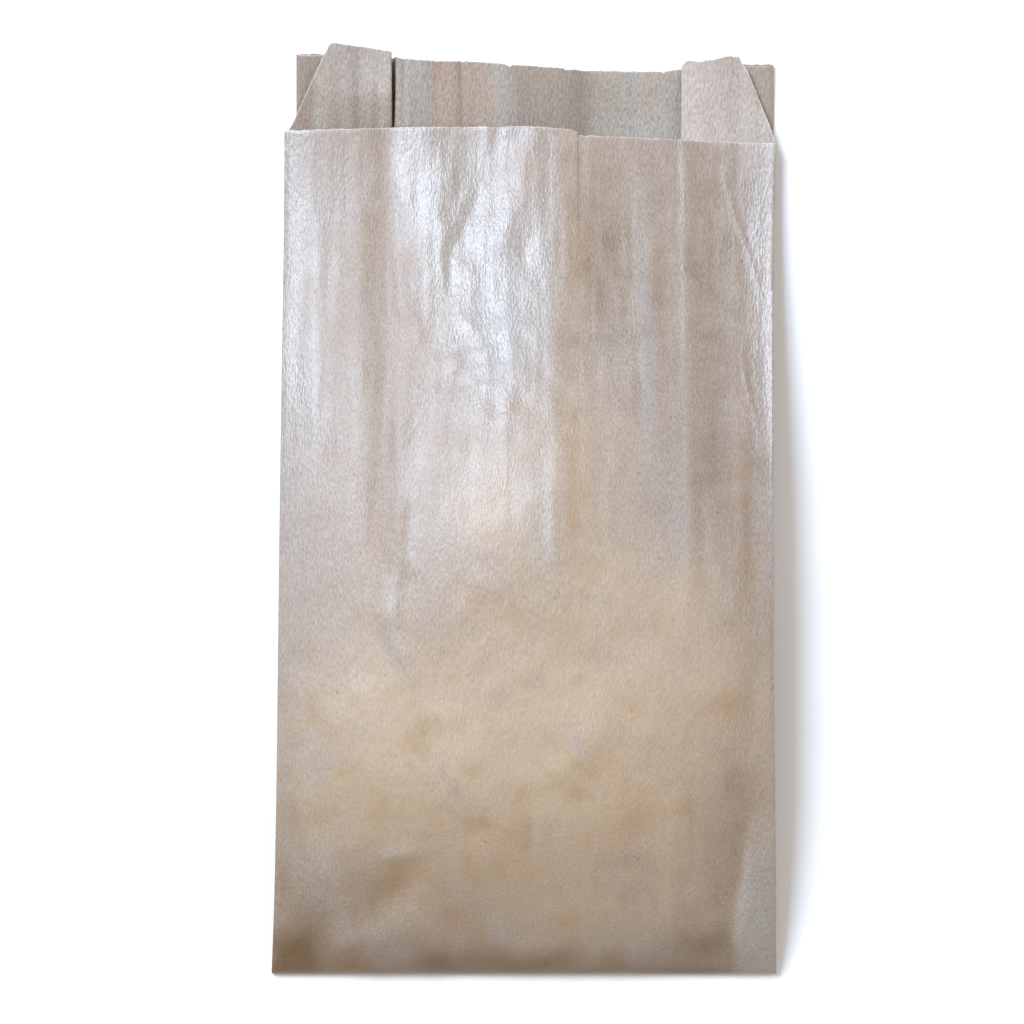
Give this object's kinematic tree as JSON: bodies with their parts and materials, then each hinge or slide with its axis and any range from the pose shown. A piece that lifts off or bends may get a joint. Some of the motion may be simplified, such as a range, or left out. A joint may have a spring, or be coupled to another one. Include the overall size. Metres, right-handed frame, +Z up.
{
  "type": "croissant bag",
  "caption": "Greaseproof paper bakery bag with side gussets, filled with croissants and lying on its back, its lipped mouth pressed flat.",
  "frame": {"origin": "middle of the bag's footprint, on the surface that its back panel lies on", "axes": "+Y along the bag from the folded bottom edge to the mouth, +X across it to the right as the front panel is seen, +Z up out of the front panel"},
  "size_m": [0.1802, 0.332, 0.048],
  "materials": {
    "paper": "satin greaseproof kraft paper with a faint waxy sheen, warm where the croissants touch it"
  },
  "bodies": {
    "root": {"bag": "paper"}
  },
  "joints": []
}
